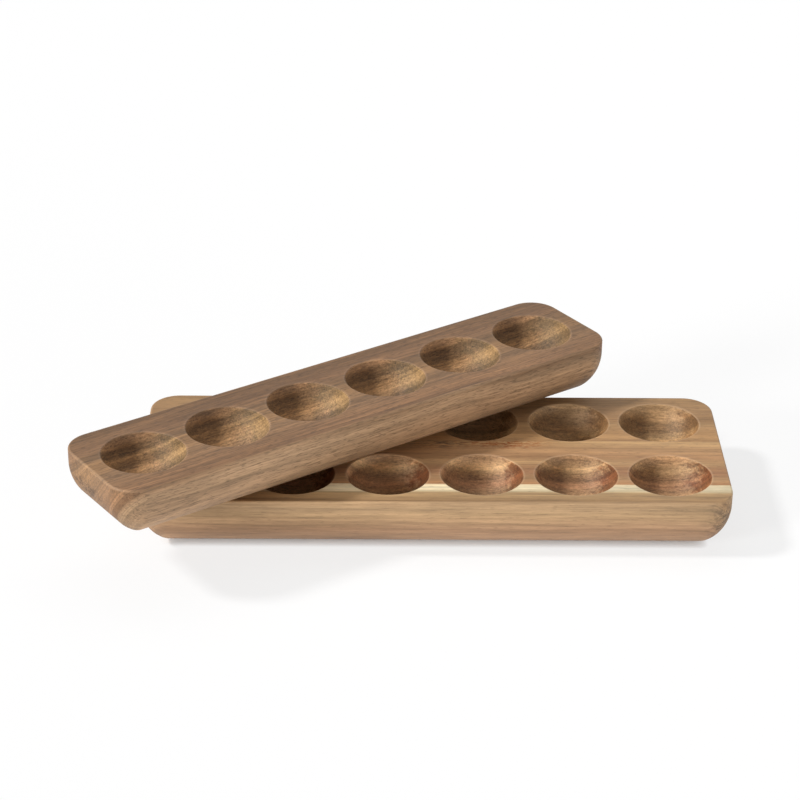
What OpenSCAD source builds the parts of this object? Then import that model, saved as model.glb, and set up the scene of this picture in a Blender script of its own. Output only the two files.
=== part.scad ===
// Two wooden trays with rows of round cups, the narrow one lying across the wide one.
// Both have the same length, thickness, edges and cups. The wide tray is glued up from
// three staves and the narrow one is cut from one piece.
// Lengths are in millimetres. The origin is the middle of the wide tray's underside, with
// +X along its length, +Y towards its back and +Z up.

/* [Trays] */
// Length of both trays
tray_length = 300; // [296:1:340]
// Thickness of both trays
tray_height = 32; // [28:1:40]
// Width of the lower tray, which has two rows of cups
lower_width = 115; // [110:0.5:130]
// Width of the upper tray, which has one row of cups
upper_width = 66.5; // [60:0.5:80]
// Radius of the corners seen from above
corner_radius = 15; // [8:0.5:20]
// Radius of the large round along the bottom edges
bottom_radius = 24.5; // [15:0.5:26]
// Radius of the small round along the top edges
top_ease = 1.1; // [0.4:0.1:1.5]

/* [Cups] */
// Number of cups in a row
cups_per_row = 6; // [4:1:6]
// Distance between neighbouring cups in a row
cup_pitch = 48; // [46:0.5:50]
// Distance between the two rows of the lower tray
row_pitch = 57; // [50:0.5:60]
// Diameter of a cup's mouth before its rim is eased
cup_mouth = 42; // [39:0.5:43]
// Depth of a cup below the top face
cup_depth = 18; // [14:0.5:19]
// Radius of the small round along a cup's rim
rim_ease = 0.7; // [0.4:0.1:1.2]

/* [Staves] */
// Width of the lower tray's front stave
front_stave_width = 19; // [16:0.5:26]
// Width of the lower tray's back stave
back_stave_width = 50; // [44:0.5:54]

/* [Stack] */
// Turn of the upper tray on the lower one, in degrees, counter-clockwise from above
upper_turn = 34.6; // [0:0.1:45]
// Shift of the upper tray's middle from the lower tray's middle, towards +X
upper_shift_x = -45; // [-60:1:60]
// Shift of the upper tray's middle from the lower tray's middle, towards +Y
upper_shift_y = 3; // [-10:1:10]

/* [Hidden] */
$fn = 96;

// Extra reach of a cutting shape past the wood that it cuts
past = 1;

// A cup is the lower part of a ball, whose centre lies above the top face
cup_radius = cup_mouth / 2;
ball_radius = (cup_radius * cup_radius + cup_depth * cup_depth) / (2 * cup_depth);
ball_rise = ball_radius - cup_depth;

// Dip of the rim's round into the ball, so that the two surfaces cross along a clean edge
// instead of only touching
rim_dip = 0.005;

// The rim's round touches the top face. Its centre lies one ease below the face and one
// ease outside the ball, less the dip
ease_reach = ball_radius + rim_ease - rim_dip;
ease_drop = ball_rise + rim_ease;
rim_radius = sqrt(ease_reach * ease_reach - ease_drop * ease_drop);

// A point inside the ball, on the line from the round's centre to the ball's centre
inner_share = (ball_radius - rim_ease) / ease_reach;
inside_ball = [rim_radius * inner_share, ball_rise - ease_drop * inner_share];

// Glue lines of the lower tray
front_glue_y = front_stave_width - lower_width / 2;
back_glue_y = lower_width / 2 - back_stave_width;

// Waste outside a rounded corner that sits at the origin and opens towards +X and +Y
module corner_waste(radius) {
    difference() {
        translate([-past, -past]) square(radius + past);
        translate([radius, radius]) circle(radius);
    }
}

// Waste along the left side of a tray's outline: a large round below, a small one above
module side_waste() {
    corner_waste(bottom_radius);
    translate([0, tray_height]) mirror([0, 1]) corner_waste(top_ease);
}

// Outline of a tray seen from one side, standing on the X axis
module side_outline(span) {
    difference() {
        translate([-span / 2, 0]) square([span, tray_height]);
        for (flip = [0, 1]) {
            mirror([flip, 0]) translate([-span / 2, 0]) side_waste();
        }
    }
}

// Outline of a tray's corner, from the corner's upright axis out to its face
module corner_outline() {
    difference() {
        square([corner_radius, tray_height]);
        translate([corner_radius, 0]) mirror([1, 0]) side_waste();
    }
}

// Places its children at the upright axes of a tray's four corners, opening outwards
module at_corners(width) {
    for (flip_x = [0, 1], flip_y = [0, 1]) {
        mirror([flip_x, 0, 0]) mirror([0, flip_y, 0])
            translate([tray_length / 2 - corner_radius, width / 2 - corner_radius, 0])
                children();
    }
}

// A tray before its cups are cut: both outlines crossed, with turned corners
module blank(width) {
    difference() {
        intersection() {
            rotate([90, 0, 90])
                linear_extrude(tray_length + 2 * past, center = true) side_outline(width);
            rotate([90, 0, 0])
                linear_extrude(width + 2 * past, center = true) side_outline(tray_length);
        }
        at_corners(width)
            translate([0, 0, -past])
                cube([corner_radius + past, corner_radius + past, tray_height + 2 * past]);
    }
    at_corners(width) rotate_extrude(angle = 90) corner_outline();
}

// Outline of the cutter for one cup, with the top face at height 0
module cup_outline() {
    intersection() {
        translate([0, ball_rise]) circle(ball_radius);
        translate([0, -cup_depth - past]) square([ball_radius, cup_depth + past]);
    }
    difference() {
        polygon([[0, 0], [rim_radius, 0], [rim_radius, -rim_ease], inside_ball]);
        translate([rim_radius, -rim_ease]) circle(rim_ease);
    }
    square([rim_radius, past]);
}

// One row of cups, cut into the top face along X
module cup_row() {
    for (i = [0 : cups_per_row - 1]) {
        translate([(i - (cups_per_row - 1) / 2) * cup_pitch, 0, tray_height])
            rotate_extrude() cup_outline();
    }
}

// Part of the lower tray between two glue lines
module lower_stave(from_y, to_y) {
    difference() {
        intersection() {
            blank(lower_width);
            translate([-tray_length / 2 - past, from_y, -past])
                cube([tray_length + 2 * past, to_y - from_y, tray_height + 2 * past]);
        }
        for (row = [-1, 1]) {
            translate([0, row * row_pitch / 2, 0]) cup_row();
        }
    }
}

module back_stave() {
    color("#ab8a66") lower_stave(back_glue_y, lower_width / 2 + past);
}

module middle_stave() {
    color("#b98e63") lower_stave(front_glue_y, back_glue_y);
}

module front_stave() {
    color("#c3a077") lower_stave(-lower_width / 2 - past, front_glue_y);
}

module upper_tray() {
    color("#8f735a")
        translate([upper_shift_x, upper_shift_y, tray_height])
            rotate([0, 0, upper_turn])
                difference() {
                    blank(upper_width);
                    cup_row();
                }
}

back_stave();
middle_stave();
front_stave();
upper_tray();
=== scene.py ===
"""Looks for two stacked wooden trays with rows of round cups.

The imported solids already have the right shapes, so this script dresses them in wood, lays
out the floor, the lights and the camera, and logs each piece. Inside the materials lengths
are in millimetres, counted from the middle of each tray's underside, with x along the grain.
Everywhere else they are in metres, in the part's own frame.
"""

import logging
import math
from dataclasses import dataclass
from enum import Enum

import bpy
from mathutils import Matrix, Vector

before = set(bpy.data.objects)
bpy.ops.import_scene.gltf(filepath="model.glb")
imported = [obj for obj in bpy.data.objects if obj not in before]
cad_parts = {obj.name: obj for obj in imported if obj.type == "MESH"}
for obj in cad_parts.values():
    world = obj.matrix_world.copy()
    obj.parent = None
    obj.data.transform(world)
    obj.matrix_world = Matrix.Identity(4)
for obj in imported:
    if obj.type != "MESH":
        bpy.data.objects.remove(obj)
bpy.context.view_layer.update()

log = logging.getLogger("trays")

Socket = bpy.types.NodeSocket
Value = float | tuple[float, ...] | Socket
Colour = tuple[float, float, float]
Size = tuple[float, float, float]

IMAGE_SIDE = 800
SENSOR_WIDTH = 36.0
METRES_PER_MM = 0.001


def linear(red: int, green: int, blue: int) -> Colour:
    """Turns a colour written in display values of 0 to 255 into a linear one.

    Args:
        red: Red, 0 to 255.
        green: Green, 0 to 255.
        blue: Blue, 0 to 255.

    Returns:
        The linear colour.
    """
    def channel(value: int) -> float:
        share = value / 255
        return share / 12.92 if share <= 0.04045 else ((share + 0.055) / 1.055) ** 2.4

    return channel(red), channel(green), channel(blue)


class Sketch:
    """Adds shader nodes to one node tree and joins them."""

    def __init__(self, tree: bpy.types.NodeTree) -> None:
        """Starts with an empty tree.

        Args:
            tree: A material's or a group's node tree.
        """
        self.tree = tree
        tree.nodes.clear()

    def node(self, kind: str, inputs: dict[str | int, Value] | None = None,
             **settings: object) -> bpy.types.Node:
        """Adds one node.

        Args:
            kind: The node's type name.
            inputs: Sockets by name or number, each with a number, a tuple or a socket.
            **settings: Properties of the node itself.

        Returns:
            The new node.
        """
        made = self.tree.nodes.new(kind)
        for name, setting in settings.items():
            setattr(made, name, setting)
        for name, value in (inputs or {}).items():
            self.feed(made.inputs[name], value)
        return made

    def feed(self, socket: Socket, value: Value) -> None:
        """Links a socket, or sets its number."""
        if isinstance(value, bpy.types.NodeSocket):
            self.tree.links.new(value, socket)
        else:
            socket.default_value = value

    def maths(self, operation: str, *values: Value) -> Socket:
        """Adds a Math node and returns its value."""
        made = self.node("ShaderNodeMath", dict(enumerate(values)), operation=operation)
        return made.outputs[0]

    def vector(self, operation: str, *values: Value) -> Socket:
        """Adds a Vector Math node and returns its vector."""
        made = self.node("ShaderNodeVectorMath", dict(enumerate(values)), operation=operation)
        return made.outputs["Vector"]

    def measure(self, operation: str, *values: Value) -> Socket:
        """Adds a Vector Math node and returns its single value, such as a length."""
        made = self.node("ShaderNodeVectorMath", dict(enumerate(values)), operation=operation)
        return made.outputs["Value"]

    def join(self, x: Value, y: Value, z: Value) -> Socket:
        """Makes a vector of three values."""
        return self.node("ShaderNodeCombineXYZ", {"X": x, "Y": y, "Z": z}).outputs[0]

    def split(self, vector: Socket) -> tuple[Socket, Socket, Socket]:
        """Takes a vector apart."""
        made = self.node("ShaderNodeSeparateXYZ", {0: vector})
        return made.outputs[0], made.outputs[1], made.outputs[2]

    def stretch(self, board: Socket, size: Size) -> Socket:
        """Scales a board's coordinates so that one wave of a noise has a given size.

        Args:
            board: Coordinates on the board, in millimetres.
            size: The wave's size along the grain, across it and up, in millimetres.

        Returns:
            The coordinates for the noise.
        """
        return self.vector("MULTIPLY", board, tuple(1 / length for length in size))

    def noise(self, vector: Socket, detail: float, rough: float = 0.5,
              output: str = "Fac") -> Socket:
        """Adds a noise texture with one wave per unit.

        Args:
            vector: Where the noise is read.
            detail: Number of finer layers.
            rough: Strength of each finer layer.
            output: "Fac" for a value, "Color" for three independent ones.

        Returns:
            The chosen output.
        """
        made = self.node("ShaderNodeTexNoise", {"Vector": vector, "Scale": 1.0,
                                                "Detail": detail, "Roughness": rough})
        return made.outputs[output]

    def rise(self, value: Value, low: Value, high: Value, start: Value = 0.0,
             end: Value = 1.0) -> Socket:
        """Turns a value into a soft step from start, at low, to end, at high."""
        made = self.node("ShaderNodeMapRange",
                         {"Value": value, "From Min": low, "From Max": high,
                          "To Min": start, "To Max": end}, interpolation_type="SMOOTHSTEP")
        return made.outputs["Result"]

    def slide(self, value: Value, low: Value, high: Value, start: Value,
              end: Value) -> Socket:
        """Turns a value into a straight ramp from start, at low, to end, at high."""
        made = self.node("ShaderNodeMapRange",
                         {"Value": value, "From Min": low, "From Max": high,
                          "To Min": start, "To Max": end})
        return made.outputs["Result"]

    def blend(self, share: Value, first: Value, second: Value, mode: str = "MIX") -> Socket:
        """Mixes two colours."""
        made = self.node("ShaderNodeMix", data_type="RGBA", blend_type=mode)
        for number, value in ((0, share), (6, first), (7, second)):
            if isinstance(value, tuple) and len(value) == 3:
                value = (*value, 1.0)
            self.feed(made.inputs[number], value)
        return made.outputs[2]

    def grey(self, value: Value) -> Socket:
        """Makes a grey colour of one value."""
        return self.node("ShaderNodeCombineColor", {0: value, 1: value, 2: value}).outputs[0]

    def tint(self, colour: Value, tint: Value) -> Socket:
        """Multiplies a colour by another."""
        return self.blend(1.0, colour, tint, "MULTIPLY")

    def scale(self, colour: Value, factor: Value) -> Socket:
        """Multiplies a colour by one value."""
        return self.tint(colour, self.grey(factor))

    def ramp(self, value: Socket, stops: list[tuple[float, Colour]]) -> Socket:
        """Adds a colour ramp.

        Args:
            value: The value to colour, 0 to 1.
            stops: Places from 0 to 1 with their linear colours, in order.

        Returns:
            The colour.
        """
        made = self.node("ShaderNodeValToRGB", {"Fac": value})
        elements = made.color_ramp.elements
        while len(elements) < len(stops):
            elements.new(0.5)
        for element, (place, colour) in zip(elements, stops):
            element.position = place
            element.color = (*colour, 1.0)
        return made.outputs["Color"]

    def seen_directly(self) -> Socket:
        """Gives 1 where the camera sees a surface, also in a reflection or through glass."""
        path = self.node("ShaderNodeLightPath").outputs
        seen = self.maths("MAXIMUM", path["Is Camera Ray"], path["Is Glossy Ray"])
        return self.maths("MAXIMUM", seen, path["Is Transmission Ray"])


class Port(Enum):
    """What kind of thing goes in or out of a shader group."""

    NUMBER = "NodeSocketFloat"
    VECTOR = "NodeSocketVector"


class ShaderGroup:
    """A node group that is built once and placed in any number of materials."""

    name = "group"
    takes: dict[str, Port] = {}
    gives: dict[str, Port] = {}

    def __init__(self) -> None:
        """Builds the group's tree."""
        self.tree = bpy.data.node_groups.new(self.name, "ShaderNodeTree")
        for label, port in self.takes.items():
            self.tree.interface.new_socket(label, in_out="INPUT", socket_type=port.value)
        for label, port in self.gives.items():
            self.tree.interface.new_socket(label, in_out="OUTPUT", socket_type=port.value)
        sketch = Sketch(self.tree)
        taken = sketch.node("NodeGroupInput").outputs
        made = self.draw(sketch, {label: taken[label] for label in self.takes})
        given = sketch.node("NodeGroupOutput").inputs
        for label in self.gives:
            sketch.feed(given[label], made[label])

    def draw(self, sketch: Sketch, taken: dict[str, Socket]) -> dict[str, Socket]:
        """Draws the inside of the group and returns a socket for each output."""
        raise NotImplementedError

    def place(self, sketch: Sketch, **values: Value) -> dict[str, Socket]:
        """Places the group in a material.

        Args:
            sketch: The material's sketch.
            **values: Inputs by name, with _ for a space.

        Returns:
            The group's outputs by name.
        """
        made = sketch.node("ShaderNodeGroup", node_tree=self.tree)
        for label, value in values.items():
            sketch.feed(made.inputs[label.replace("_", " ")], value)
        return {label: made.outputs[label] for label in self.gives}


class GrowthRings(ShaderGroup):
    """Distance of each point from the board's heart, with the wandering of real rings."""

    name = "Growth rings"
    takes = {"Board": Port.VECTOR, "Heart": Port.VECTOR, "Wander": Port.NUMBER,
             "Seed": Port.NUMBER}
    gives = {"Radius": Port.NUMBER, "Band": Port.NUMBER, "Streak": Port.NUMBER}
    sway_size = (150.0, 55.0, 55.0)
    band_length, band_width = 170.0, 5.0
    streak_length, streak_width = 75.0, 0.9

    def draw(self, sketch: Sketch, taken: dict[str, Socket]) -> dict[str, Socket]:
        """Draws rings, bands a few millimetres wide and fine streaks between them."""
        shift = sketch.join(taken["Seed"], 0.0, 0.0)
        calm = sketch.stretch(taken["Board"], self.sway_size)
        sway = sketch.noise(sketch.vector("ADD", calm, shift), detail=3.0, output="Color")
        sway = sketch.vector("SUBTRACT", sway, (0.5, 0.5, 0.5))
        spread = sketch.join(0.0, taken["Wander"], taken["Wander"])
        bent = sketch.vector("ADD", taken["Board"], sketch.vector("MULTIPLY", sway, spread))
        across = sketch.vector("MULTIPLY", sketch.vector("SUBTRACT", bent, taken["Heart"]),
                               (0.0, 1.0, 1.0))
        radius = sketch.measure("LENGTH", across)
        along = sketch.split(taken["Board"])[0]
        broad = sketch.join(sketch.maths("DIVIDE", along, self.band_length),
                            sketch.maths("DIVIDE", radius, self.band_width), taken["Seed"])
        band = sketch.noise(broad, detail=1.5)
        fine = sketch.join(sketch.maths("DIVIDE", along, self.streak_length),
                           sketch.maths("DIVIDE", radius, self.streak_width), taken["Seed"])
        streak = sketch.noise(fine, detail=3.0, rough=0.62)
        return {"Radius": radius, "Band": sketch.rise(band, 0.3, 0.7),
                "Streak": sketch.slide(streak, 0.28, 0.72, 0.0, 1.0)}


class Fibres(ShaderGroup):
    """Fine fibres and open pores, long along the grain and round across it."""

    name = "Fibres and pores"
    takes = {"Board": Port.VECTOR, "Pore share": Port.NUMBER}
    gives = {"Fibre": Port.NUMBER, "Pores": Port.NUMBER}
    fibre_size = (22.0, 1.7, 1.7)
    pore_size = (4.5, 0.65, 0.65)
    fewest_pores, most_pores = 0.7, 0.5
    pore_edge = 0.1

    def draw(self, sketch: Sketch, taken: dict[str, Socket]) -> dict[str, Socket]:
        """Draws stretched noise for the fibres, and its peaks for the pores."""
        fibre = sketch.noise(sketch.stretch(taken["Board"], self.fibre_size), detail=4.0,
                             rough=0.8)
        peaks = sketch.noise(sketch.stretch(taken["Board"], self.pore_size), detail=1.5)
        limit = sketch.slide(taken["Pore share"], 0.0, 1.0, self.fewest_pores,
                             self.most_pores)
        pores = sketch.rise(peaks, limit, sketch.maths("ADD", limit, self.pore_edge))
        return {"Fibre": sketch.slide(fibre, 0.25, 0.75, 0.0, 1.0), "Pores": pores}


class CupMarks(ShaderGroup):
    """Where a point lies in relation to the nearest cup, and what turning left there."""

    name = "Cup marks"
    takes = {"Board": Port.VECTOR, "Pitch": Port.NUMBER, "Row offset": Port.NUMBER,
             "Ball rise": Port.NUMBER, "Ball radius": Port.NUMBER, "Row half": Port.NUMBER}
    gives = {"Bowl": Port.NUMBER, "Rim": Port.NUMBER, "Turning": Port.NUMBER,
             "Nap": Port.NUMBER}
    turning_size = (26.0, 26.0, 0.62)
    nap_size = (2.2, 1.1, 1.1)
    row_edge = 0.5

    def draw(self, sketch: Sketch, taken: dict[str, Socket]) -> dict[str, Socket]:
        """Measures from the middle of the ball that each cup is a part of."""
        x, y, z = sketch.split(taken["Board"])
        half = sketch.maths("MULTIPLY", taken["Pitch"], 0.5)
        from_cup = sketch.maths("SUBTRACT", sketch.maths("FLOORED_MODULO", x, taken["Pitch"]),
                                half)
        from_row = sketch.maths("SUBTRACT", sketch.maths("ABSOLUTE", y), taken["Row offset"])
        below = sketch.maths("SUBTRACT", z, taken["Ball rise"])
        place = sketch.join(from_cup, from_row, below)
        distance = sketch.measure("LENGTH", place)
        beyond = sketch.maths("SUBTRACT", distance, taken["Ball radius"])
        inside = sketch.rise(sketch.maths("ABSOLUTE", x), taken["Row half"],
                             sketch.maths("ADD", taken["Row half"], self.row_edge), 1.0,
                             0.0)
        bowl = sketch.maths("MULTIPLY", sketch.rise(beyond, 0.02, 0.2, 1.0, 0.0), inside)
        # A thin ring at each cup's edge, which the material lightens: partly sanded wood,
        # partly a painted highlight.
        ring = sketch.maths("MULTIPLY", sketch.rise(beyond, 0.03, 0.2),
                            sketch.rise(beyond, 0.75, 1.15, 1.0, 0.0))
        rim = sketch.maths("MULTIPLY", ring, inside)
        turning = sketch.noise(sketch.stretch(place, self.turning_size), detail=2.0,
                               rough=0.6)
        nap = sketch.noise(sketch.stretch(taken["Board"], self.nap_size), detail=3.0,
                           rough=0.85)
        return {"Bowl": bowl, "Rim": rim,
                "Turning": sketch.slide(turning, 0.3, 0.7, 0.0, 1.0),
                "Nap": sketch.slide(nap, 0.3, 0.7, 0.0, 1.0)}


class EdgeHighlightMask(ShaderGroup):
    """A mask for the small round along a tray's top edge, where a highlight is painted."""

    name = "Edge marks"
    takes = {"Board": Port.VECTOR, "Half length": Port.NUMBER, "Half width": Port.NUMBER,
             "Corner": Port.NUMBER, "Height": Port.NUMBER, "Ease": Port.NUMBER}
    gives = {"Arris": Port.NUMBER}

    def draw(self, sketch: Sketch, taken: dict[str, Socket]) -> dict[str, Socket]:
        """Measures from the rounded outline of the tray and from its top face."""
        x, y, z = sketch.split(taken["Board"])
        core_x = sketch.maths("SUBTRACT", taken["Half length"], taken["Corner"])
        core_y = sketch.maths("SUBTRACT", taken["Half width"], taken["Corner"])
        out_x = sketch.maths("SUBTRACT", sketch.maths("ABSOLUTE", x), core_x)
        out_y = sketch.maths("SUBTRACT", sketch.maths("ABSOLUTE", y), core_y)
        reach = sketch.measure("LENGTH", sketch.join(sketch.maths("MAXIMUM", out_x, 0.0),
                                                     sketch.maths("MAXIMUM", out_y, 0.0),
                                                     0.0))
        gap = sketch.maths("SUBTRACT", taken["Corner"], reach)
        near = sketch.rise(gap, sketch.maths("MULTIPLY", taken["Ease"], 0.75),
                           sketch.maths("MULTIPLY", taken["Ease"], 1.25), 1.0, 0.0)
        drop = sketch.maths("SUBTRACT", taken["Height"], z)
        high = sketch.rise(drop, sketch.maths("MULTIPLY", taken["Ease"], 0.7),
                           sketch.maths("MULTIPLY", taken["Ease"], 1.2), 1.0, 0.0)
        return {"Arris": sketch.maths("MULTIPLY", near, high)}


@dataclass(frozen=True)
class Tray:
    """Sizes of one tray, in millimetres, and where it lies."""

    width: float
    row_offset: float
    length: float = 300.0
    height: float = 32.0
    corner: float = 15.0
    ease: float = 1.1
    pitch: float = 48.0
    cups: int = 6
    ball_radius: float = 21.25
    ball_rise: float = 35.25
    turn: float = 0.0
    place: Size = (0.0, 0.0, 0.0)


@dataclass(frozen=True)
class Figure:
    """A local swirl in the grain, with wisps and flecks, around one spot of a board.

    The wisps and the flecks are colours that the wood is multiplied by.
    """

    spot: Size
    reach: Size
    swirl: float
    wisp: Colour
    fleck: Colour


@dataclass(frozen=True)
class WoodFinish:
    """How one board looks.

    The palette gives the wood's colour by distance from the heart, in millimetres. Band,
    streak, fibre and pores say how strongly each of them shows. End grain is darkest on
    faces that look towards -X of the tray, and with_grain is its strength on the others.
    The lightness at the tray's two ends is partly the wood's own tone, partly painted light
    and shade along the tray.
    """

    heart: Size
    palette: tuple[tuple[float, Colour], ...]
    seed: float
    wander: float = 5.0
    band: float = 0.16
    streak: float = 0.22
    fibre: float = 0.3
    pores: float = 0.55
    pore_share: float = 0.5
    end_tint: Colour = linear(205, 186, 176)
    end_share: float = 0.4
    with_grain: float = 0.55
    bowl_end_share: float = 0.9
    bowl_tint: Colour = linear(246, 251, 253)
    # bowl_gain lightens the cups: partly fresher cut wood, partly painted light lifting the
    # shade inside them.
    bowl_gain: float = 1.33
    bowl_bands: float = 0.35
    # The rim colour is partly the lighter sanded wood, partly a painted highlight on the cups'
    # rims.
    rim: Colour = linear(206, 176, 146)
    rim_share: float = 0.14
    # A painted highlight along the small round of the tray's top edge.
    arris_highlight: Colour = linear(204, 174, 140)
    arris_highlight_share: float = 0.1
    roughness: float = 0.56
    lengthwise_tone_and_shade: tuple[float, float] = (1.0, 1.0)
    figures: tuple[Figure, ...] = ()


@dataclass(frozen=True)
class Marks:
    """What the shared groups say about each point of a board."""

    board: Socket
    facing: Socket
    rings: dict[str, Socket]
    fibres: dict[str, Socket]
    cups: dict[str, Socket]
    edges: dict[str, Socket]
    swirls: list[tuple[Socket, Colour]]


class WoodShop:
    """Makes the wood materials from shared groups."""

    lighter_share = 0.6
    pore_tint = 0.45
    patch_size = (7.0, 5.0, 4.0)
    patch_depth = 0.28
    turning_share = 0.25
    bowl_contrast = 0.5
    fibre_height, pore_height, bowl_height = 0.5, -0.8, 1.6
    bump_strength, bump_depth = 0.35, 0.00022
    smoothest, roughest = -0.05, 0.08
    specular = 0.32

    def __init__(self) -> None:
        """Builds each shared group once."""
        self.rings = GrowthRings()
        self.fibres = Fibres()
        self.cups = CupMarks()
        self.edges = EdgeHighlightMask()

    def material(self, name: str, tray: Tray, finish: WoodFinish) -> bpy.types.Material:
        """Makes the material of one board.

        Args:
            name: Name of the material.
            tray: The tray that the board belongs to.
            finish: The board's colours and grain.

        Returns:
            The material.
        """
        made = bpy.data.materials.new(name)
        made.use_nodes = True
        sketch = Sketch(made.node_tree)
        marks = self.read(sketch, tray, finish)
        speckle = sketch.maths(
            "ADD", sketch.maths("MULTIPLY", marks.cups["Turning"], self.turning_share),
            sketch.maths("MULTIPLY", marks.cups["Nap"], 1 - self.turning_share))
        colour = self.grow(sketch, tray, finish, marks)
        colour = self.cut(sketch, finish, marks, colour)
        colour = self.turn(sketch, finish, marks, speckle, colour)
        # Lightens the cups' rims (partly sanded wood, partly painted highlight) and the top
        # edge (painted highlight).
        for mask, share, tone in ((marks.cups["Rim"], finish.rim_share, finish.rim),
                                  (marks.edges["Arris"], finish.arris_highlight_share, finish.arris_highlight)):
            colour = sketch.blend(sketch.maths("MULTIPLY", mask, share), colour, tone)
        shine = sketch.slide(marks.fibres["Fibre"], 0.0, 1.0,
                             finish.roughness + self.smoothest,
                             finish.roughness + self.roughest)
        shader = sketch.node("ShaderNodeBsdfPrincipled",
                             {"Base Color": colour, "Roughness": shine,
                              "Specular IOR Level": self.specular,
                              "Normal": self.relief(sketch, marks, speckle)})
        out = sketch.node("ShaderNodeOutputMaterial")
        sketch.feed(out.inputs["Surface"], shader.outputs[0])
        return made

    def read(self, sketch: Sketch, tray: Tray, finish: WoodFinish) -> Marks:
        """Places the shared groups in a material.

        Args:
            sketch: The material's sketch.
            tray: The tray that the board belongs to.
            finish: The board's colours and grain.

        Returns:
            The outputs of the groups.
        """
        points = sketch.node("ShaderNodeTexCoord").outputs
        turn = math.radians(tray.turn)
        board = sketch.node(
            "ShaderNodeMapping",
            {"Vector": points["Object"],
             "Location": tuple(value * METRES_PER_MM for value in tray.place),
             "Rotation": (0.0, 0.0, turn), "Scale": (METRES_PER_MM,) * 3},
            vector_type="TEXTURE").outputs[0]
        grain = (math.cos(turn), math.sin(turn), 0.0)
        towards = sketch.measure("DOT_PRODUCT", points["Normal"], grain)
        facing = sketch.maths("MAXIMUM", sketch.maths("MULTIPLY", towards, -1.0),
                              sketch.maths("MULTIPLY", towards, finish.with_grain))
        swirled, swirls = board, []
        for figure in finish.figures:
            swirled, wisps, flecks = self.figure(sketch, swirled, figure)
            swirls += [(flecks, figure.fleck), (wisps, figure.wisp)]
        rings = self.rings.place(sketch, Board=swirled, Heart=finish.heart,
                                 Wander=finish.wander, Seed=finish.seed)
        fibres = self.fibres.place(sketch, Board=board, Pore_share=finish.pore_share)
        cups = self.cups.place(sketch, Board=board, Pitch=tray.pitch,
                               Row_offset=tray.row_offset, Ball_rise=tray.ball_rise,
                               Ball_radius=tray.ball_radius,
                               Row_half=tray.pitch * tray.cups / 2)
        edges = self.edges.place(sketch, Board=board, Half_length=tray.length / 2,
                                 Half_width=tray.width / 2, Corner=tray.corner,
                                 Height=tray.height, Ease=tray.ease)
        return Marks(board, facing, rings, fibres, cups, edges, swirls)

    def grow(self, sketch: Sketch, tray: Tray, finish: WoodFinish, marks: Marks) -> Socket:
        """Colours the wood by its rings, bands, streaks, fibres and figures."""
        low, high = finish.palette[0][0], finish.palette[-1][0]
        share = sketch.slide(marks.rings["Radius"], low, high, 0.0, 1.0)
        stops = [((radius - low) / (high - low), colour) for radius, colour in finish.palette]
        colour = sketch.ramp(share, stops)
        for value, depth in ((marks.rings["Band"], finish.band),
                             (marks.rings["Streak"], finish.streak),
                             (marks.fibres["Fibre"], finish.fibre)):
            colour = sketch.scale(colour, sketch.slide(value, 0.0, 1.0, 1 - depth,
                                                       1 + depth * self.lighter_share))
        # Lighter at one end and darker at the other: partly the wood's tone, partly painted
        # light and shade.
        along = sketch.split(marks.board)[0]
        colour = sketch.scale(colour, sketch.slide(along, -tray.length / 2, tray.length / 2,
                                                   *finish.lengthwise_tone_and_shade))
        for mask, tint in marks.swirls:
            colour = sketch.blend(mask, colour, sketch.tint(colour, tint))
        return colour

    def cut(self, sketch: Sketch, finish: WoodFinish, marks: Marks,
            colour: Socket) -> Socket:
        """Tints the end grain, in patches, and darkens the pores."""
        patches = sketch.noise(sketch.stretch(marks.board, self.patch_size), detail=4.0,
                               rough=0.65)
        patches = sketch.slide(patches, 0.3, 0.7, -self.patch_depth, self.patch_depth)
        end_grain = sketch.rise(sketch.maths("ADD", marks.facing, patches), 0.4, 0.85)
        strength = sketch.slide(marks.cups["Bowl"], 0.0, 1.0, finish.end_share,
                                finish.bowl_end_share)
        colour = sketch.blend(sketch.maths("MULTIPLY", end_grain, strength), colour,
                              sketch.tint(colour, finish.end_tint))
        pores = sketch.maths("MULTIPLY", marks.fibres["Pores"], finish.pores)
        return sketch.blend(pores, colour, sketch.scale(colour, self.pore_tint))

    def turn(self, sketch: Sketch, finish: WoodFinish, marks: Marks, speckle: Socket,
             colour: Socket) -> Socket:
        """Lightens the bowls, with bands and speckles: partly the fresher cut wood, partly
        painted light that lifts the shade in the hollows.
        """
        mottle = sketch.maths(
            "ADD", sketch.maths("MULTIPLY", speckle, 1 - finish.bowl_bands),
            sketch.maths("MULTIPLY", marks.rings["Band"], finish.bowl_bands))
        gain = sketch.slide(mottle, 0.15, 0.85, finish.bowl_gain * (1 - self.bowl_contrast),
                            finish.bowl_gain * (1 + self.bowl_contrast))
        return sketch.blend(marks.cups["Bowl"], colour,
                            sketch.tint(sketch.scale(colour, gain), finish.bowl_tint))

    def relief(self, sketch: Sketch, marks: Marks, speckle: Socket) -> Socket:
        """Raises the fibres and the bowls' speckles a little, and sinks the pores."""
        height = sketch.maths(
            "ADD", sketch.maths("MULTIPLY", marks.fibres["Fibre"], self.fibre_height),
            sketch.maths("MULTIPLY", marks.fibres["Pores"], self.pore_height))
        rough_cut = sketch.maths("MULTIPLY", marks.cups["Bowl"], speckle)
        height = sketch.maths("ADD", height,
                              sketch.maths("MULTIPLY", rough_cut, self.bowl_height))
        bump = sketch.node("ShaderNodeBump", {"Height": height,
                                              "Strength": self.bump_strength,
                                              "Distance": self.bump_depth})
        return bump.outputs[0]

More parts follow.
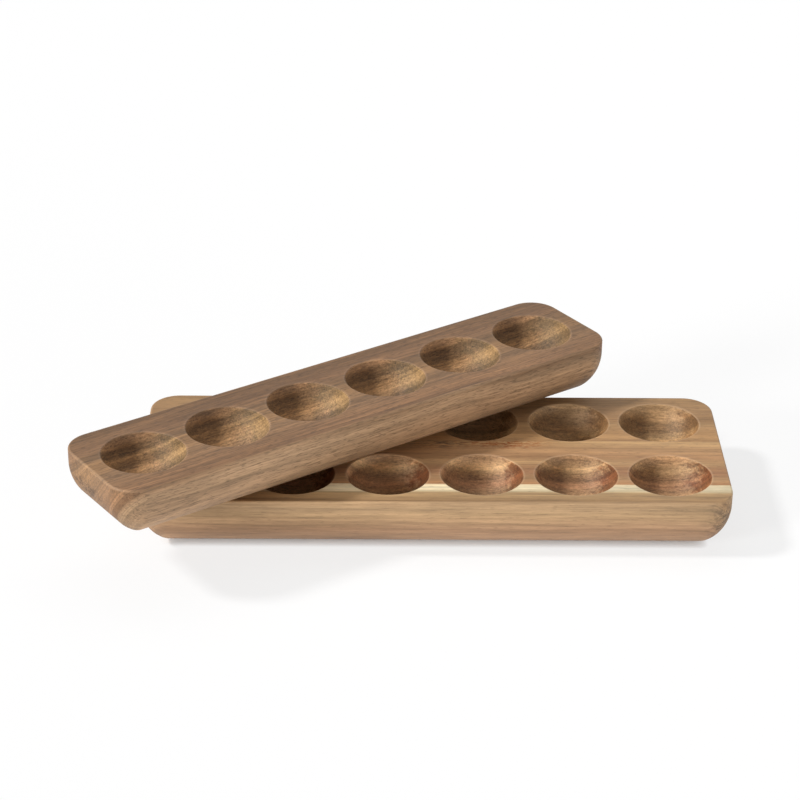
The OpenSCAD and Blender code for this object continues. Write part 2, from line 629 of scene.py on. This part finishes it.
    def figure(self, sketch: Sketch, board: Socket,
               figure: Figure) -> tuple[Socket, Socket, Socket]:
        """Bends the board's coordinates around a spot.

        Args:
            sketch: The material's sketch.
            board: Coordinates on the board.
            figure: The spot and how it looks.

        Returns:
            The bent coordinates, a mask for the wisps and one for the flecks.
        """
        offset = sketch.vector("SUBTRACT", board, figure.spot)
        reach = sketch.vector("DIVIDE", offset, figure.reach)
        near = sketch.rise(sketch.measure("LENGTH", reach), 0.1, 1.0, 1.0, 0.0)
        sway = sketch.noise(sketch.stretch(board, (16.0, 5.0, 5.0)), detail=3.0, rough=0.6,
                            output="Color")
        push = sketch.node("ShaderNodeVectorMath",
                           {0: sketch.vector("SUBTRACT", sway, (0.5, 0.5, 0.5)),
                            "Scale": sketch.maths("MULTIPLY", near, figure.swirl)},
                           operation="SCALE").outputs["Vector"]
        bent = sketch.vector("ADD", board, push)
        patch = sketch.noise(sketch.stretch(bent, (9.0, 1.6, 1.6)), detail=3.0, rough=0.6)
        speck = sketch.noise(sketch.stretch(bent, (2.4, 0.9, 0.9)), detail=2.0, rough=0.6)
        wisps, flecks = (sketch.maths("MULTIPLY", sketch.rise(value, 0.46, 0.6), near)
                         for value in (patch, speck))
        return bent, wisps, flecks


class Body(Enum):
    """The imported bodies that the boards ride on."""

    LOWER = "lower_body"
    UPPER = "upper_body"


@dataclass(frozen=True)
class Board:
    """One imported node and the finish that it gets."""

    node: str
    body: Body
    finish: WoodFinish


@dataclass(frozen=True)
class DressedTray:
    """A tray and the boards that it is made of."""

    tray: Tray
    boards: tuple[Board, ...]

    def dress(self, shop: WoodShop) -> None:
        """Puts each board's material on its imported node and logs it.

        Args:
            shop: Makes the materials.
        """
        for board in self.boards:
            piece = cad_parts[board.node]
            wood = shop.material(board.node + "_wood", self.tray, board.finish)
            for material_slot in piece.material_slots:
                material_slot.material = wood
            log.info("%s rides on %s and wears %s", piece.name, board.body.value, wood.name)


@dataclass(frozen=True)
class LowerTray(DressedTray):
    """The wide tray, glued up from three staves."""

    tray: Tray = Tray(width=115.0, row_offset=28.5)
    boards: tuple[Board, ...] = (
        Board("back_stave", Body.LOWER, WoodFinish(
            heart=(0.0, 110.0, 92.0), seed=3.1, end_tint=linear(192, 178, 162),
            bowl_gain=1.24,
            palette=((80.0, linear(167, 131, 90)), (91.0, linear(162, 126, 88)),
                     (99.5, linear(157, 120, 82)), (103.0, linear(169, 133, 92)),
                     (110.0, linear(177, 136, 92)), (115.0, linear(184, 142, 96)),
                     (119.0, linear(177, 136, 93))))),
        Board("middle_stave", Body.LOWER, WoodFinish(
            heart=(0.0, 70.0, 90.0), seed=7.7, end_tint=linear(168, 132, 108),
            palette=((87.0, linear(193, 154, 108)), (91.0, linear(183, 142, 100)),
                     (98.5, linear(177, 134, 94)), (104.0, linear(189, 149, 105)),
                     (108.0, linear(172, 128, 90)), (112.5, linear(158, 115, 82)),
                     (117.5, linear(178, 138, 98)), (122.0, linear(174, 128, 88))),
            figures=(Figure(spot=(4.0, 4.5, 32.0), reach=(26.0, 9.0, 14.0), swirl=4.0,
                            wisp=linear(150, 160, 176), fleck=linear(240, 226, 212)),
                     Figure(spot=(37.0, 4.5, 32.0), reach=(34.0, 8.0, 14.0), swirl=3.0,
                            wisp=linear(226, 196, 172), fleck=linear(214, 160, 128))))),
        Board("front_stave", Body.LOWER, WoodFinish(
            heart=(0.0, 20.0, 80.0), seed=11.3, wander=2.5, streak=0.3, pores=0.3,
            # The last stop lightens the bottom of the front face, partly as painted light
            # bounced up from the floor.
            palette=((76.0, linear(236, 214, 174)), (78.5, linear(239, 221, 183)),
                     (81.0, linear(227, 205, 164)), (82.6, linear(189, 155, 111)),
                     (89.0, linear(165, 130, 91)), (92.5, linear(177, 145, 108)),
                     (95.0, linear(180, 147, 108)), (99.5, linear(157, 123, 93)),
                     # Lighter at the left end, partly as painted light against the upper
                     # tray's shade there, and darker at the right.
                     (105.0, linear(204, 165, 131))), lengthwise_tone_and_shade=(1.1, 0.89),
            figures=(Figure(spot=(147.0, -52.0, 19.0), reach=(18.0, 14.0, 19.0), swirl=4.0,
                            wisp=linear(178, 176, 184), fleck=linear(232, 226, 224)),))),
    )


@dataclass(frozen=True)
class UpperTray(DressedTray):
    """The narrow tray, cut from one piece, which lies across the wide one."""

    tray: Tray = Tray(width=66.5, row_offset=0.0, turn=34.6, place=(-45.0, 3.0, 32.0))
    boards: tuple[Board, ...] = (
        Board("upper_tray", Body.UPPER, WoodFinish(
            heart=(0.0, 60.0, 90.0), seed=17.9, wander=7.0, band=0.22, streak=0.36, fibre=0.38,
            pores=0.65, pore_share=0.75, end_tint=linear(214, 221, 215), end_share=0.1,
            # The bowls are lightened more here, partly as painted light in their shaded
            # halves.
            bowl_tint=linear(247, 250, 248), bowl_gain=1.55, bowl_bands=0.28, rim_share=0.06,
            # Lighter at the left end, darker at the right where its side lies in shade over
            # the lower tray: partly tone, partly painted shade.
            lengthwise_tone_and_shade=(1.1, 0.88),
            palette=((64.0, linear(126, 94, 65)), (72.0, linear(133, 99, 70)),
                     (79.0, linear(141, 108, 76)), (84.5, linear(157, 119, 81)),
                     (93.0, linear(143, 110, 79)), (104.0, linear(150, 112, 79)),
                     (109.5, linear(137, 101, 70)), (112.0, linear(166, 134, 101)),
                     (121.0, linear(177, 142, 108))),
            figures=(Figure(spot=(-150.0, 6.0, 19.0), reach=(9.0, 24.0, 7.0), swirl=2.0,
                            wisp=linear(176, 172, 172), fleck=linear(232, 230, 228)),))),
    )


@dataclass(frozen=True)
class PhotoCamera:
    """The camera of the photograph, by its angles, distance and focal length in pixels."""

    focal: float = 2452.32
    elevation: float = 27.559
    yaw: float = -0.955
    roll: float = 0.766
    distance: float = 1.259366
    target: Size = (-0.01782, 0.0, 0.059541)
    nearest: float = 0.05
    farthest: float = 50.0

    def build(self) -> None:
        """Makes the camera and gives it to the scene."""
        tilt, yaw, roll = (math.radians(value) for value in
                           (self.elevation, self.yaw, self.roll))
        right = Vector((1.0, 0.0, 0.0))
        up = Vector((0.0, math.sin(tilt), math.cos(tilt)))
        ahead = Vector((0.0, math.cos(tilt), -math.sin(tilt)))
        turn = Matrix.Rotation(yaw, 3, "Z")
        right, up, ahead = (turn @ axis for axis in (right, up, ahead))
        rolled_right = right * math.cos(roll) + up * math.sin(roll)
        rolled_up = up * math.cos(roll) - right * math.sin(roll)
        lens = bpy.data.cameras.new("photo_camera")
        lens.sensor_width = SENSOR_WIDTH
        lens.lens = self.focal * SENSOR_WIDTH / IMAGE_SIDE
        lens.clip_start, lens.clip_end = self.nearest, self.farthest
        camera = bpy.data.objects.new("photo_camera", lens)
        bpy.context.scene.collection.objects.link(camera)
        turned = Matrix((rolled_right, rolled_up, -ahead)).transposed().to_4x4()
        place = Vector(self.target) - ahead * self.distance
        camera.matrix_world = Matrix.Translation(place) @ turned
        bpy.context.scene.camera = camera


def beam(elevation: float, heading: float) -> Vector:
    """Gives the way a lamp's light goes.

    Args:
        elevation: The lamp's height in the sky, in degrees.
        heading: Where its light goes, in degrees from +X towards +Y.

    Returns:
        A vector of length 1.
    """
    rise, way = math.radians(elevation), math.radians(heading)
    return Vector((math.cos(rise) * math.cos(way), math.cos(rise) * math.sin(way),
                   -math.sin(rise)))


@dataclass(frozen=True)
class Sun:
    """A lamp whose light is parallel but for its spread. Angles are in degrees."""

    name: str
    strength: float
    elevation: float
    heading: float
    spread: float


@dataclass(frozen=True)
class SoftBox:
    """A rectangular lamp that faces the trays."""

    name: str
    watts: float
    elevation: float
    heading: float
    distance: float
    width: float
    height: float


@dataclass(frozen=True)
class Studio:
    """A white floor, two suns, two soft boxes and an even fill.

    The key comes from the left and shades the left half of each cup. The side light runs
    along the upper tray, so that it lights the lower one right up to it and leaves the
    covered cups dark. The front box stands so low that it hardly reaches into the cups,
    and the back one so high that it brightens the top faces most. The floor keeps the
    shadow of the trays, and contact_reach is how near they have to be to darken its glow.
    """

    floor_side: float = 12.0
    floor_drop: float = 0.0002
    floor_white: float = 0.92
    floor_glow: float = 0.76
    contact_reach: float = 0.004
    fill_strength: float = 0.2
    sun_distance: float = 2.0
    suns: tuple[Sun, ...] = (
        Sun("key", strength=2.42, elevation=44.0, heading=5.0, spread=8.5),
        Sun("side", strength=2.05, elevation=16.0, heading=37.0, spread=16.0),
    )
    boxes: tuple[SoftBox, ...] = (
        SoftBox("front", watts=24.0, elevation=5.0, heading=132.0, distance=2.2, width=2.4,
                height=0.36),
        SoftBox("back", watts=11.0, elevation=70.0, heading=-92.0, distance=2.5, width=2.5,
                height=1.2),
    )

    def build(self) -> None:
        """Builds the floor, the lights and the background."""
        self.lay_floor()
        for sun in self.suns:
            self.hang_sun(sun)
        for box in self.boxes:
            self.hang_box(box)
        self.fill()

    def hang(self, light: bpy.types.Light, way: Vector, distance: float) -> None:
        """Hangs a lamp and turns it to the trays.

        Args:
            light: The lamp's data.
            way: The way its light goes.
            distance: Its distance from the trays.
        """
        lamp = bpy.data.objects.new(light.name, light)
        lamp.visible_camera = False
        lamp.rotation_euler = way.to_track_quat("-Z", "Y").to_euler()
        lamp.location = -way * distance
        bpy.context.scene.collection.objects.link(lamp)

    def hang_sun(self, sun: Sun) -> None:
        """Hangs one sun lamp."""
        light = bpy.data.lights.new(sun.name, "SUN")
        light.energy = sun.strength
        light.angle = math.radians(sun.spread)
        self.hang(light, beam(sun.elevation, sun.heading), self.sun_distance)

    def hang_box(self, box: SoftBox) -> None:
        """Hangs one soft box."""
        light = bpy.data.lights.new(box.name, "AREA")
        light.shape = "RECTANGLE"
        light.energy = box.watts
        light.size, light.size_y = box.width, box.height
        self.hang(light, beam(box.elevation, box.heading), box.distance)

    def lay_floor(self) -> None:
        """Lays the floor just under the part."""
        half = self.floor_side / 2
        mesh = bpy.data.meshes.new("floor")
        mesh.from_pydata([(-half, -half, 0.0), (half, -half, 0.0), (half, half, 0.0),
                          (-half, half, 0.0)], [], [(0, 1, 2, 3)])
        floor = bpy.data.objects.new("floor", mesh)
        floor.location.z = -self.floor_drop
        bpy.context.scene.collection.objects.link(floor)
        paper = bpy.data.materials.new("floor_paper")
        paper.use_nodes = True
        sketch = Sketch(paper.node_tree)
        shader = sketch.node("ShaderNodeBsdfDiffuse",
                             {"Color": (self.floor_white,) * 3 + (1.0,)})
        white = sketch.node("ShaderNodeEmission", {"Strength": 1.0})
        open_above = sketch.node("ShaderNodeAmbientOcclusion",
                                 {"Distance": self.contact_reach}, samples=8).outputs["AO"]
        glow = sketch.maths("MULTIPLY", open_above, self.floor_glow)
        both = sketch.node("ShaderNodeMixShader",
                           {0: sketch.maths("MULTIPLY", sketch.seen_directly(), glow),
                            1: shader.outputs[0], 2: white.outputs[0]})
        out = sketch.node("ShaderNodeOutputMaterial")
        sketch.feed(out.inputs["Surface"], both.outputs[0])
        mesh.materials.append(paper)

    def fill(self) -> None:
        """Sets the even fill, and white where the camera sees the background."""
        world = bpy.data.worlds.new("studio")
        bpy.context.scene.world = world
        world.use_nodes = True
        sketch = Sketch(world.node_tree)
        strength = sketch.slide(sketch.seen_directly(), 0.0, 1.0, self.fill_strength, 1.0)
        light = sketch.node("ShaderNodeBackground", {"Color": (1.0, 1.0, 1.0, 1.0),
                                                     "Strength": strength})
        out = sketch.node("ShaderNodeOutputWorld")
        sketch.feed(out.inputs["Surface"], light.outputs[0])


def main() -> None:
    """Builds everything in order."""
    logging.basicConfig(level=logging.INFO, format="%(name)s: %(message)s")
    bpy.context.scene.view_settings.view_transform = "Standard"
    PhotoCamera().build()
    Studio().build()
    shop = WoodShop()
    LowerTray().dress(shop)
    UpperTray().dress(shop)


if __name__ == "__main__":
    main()
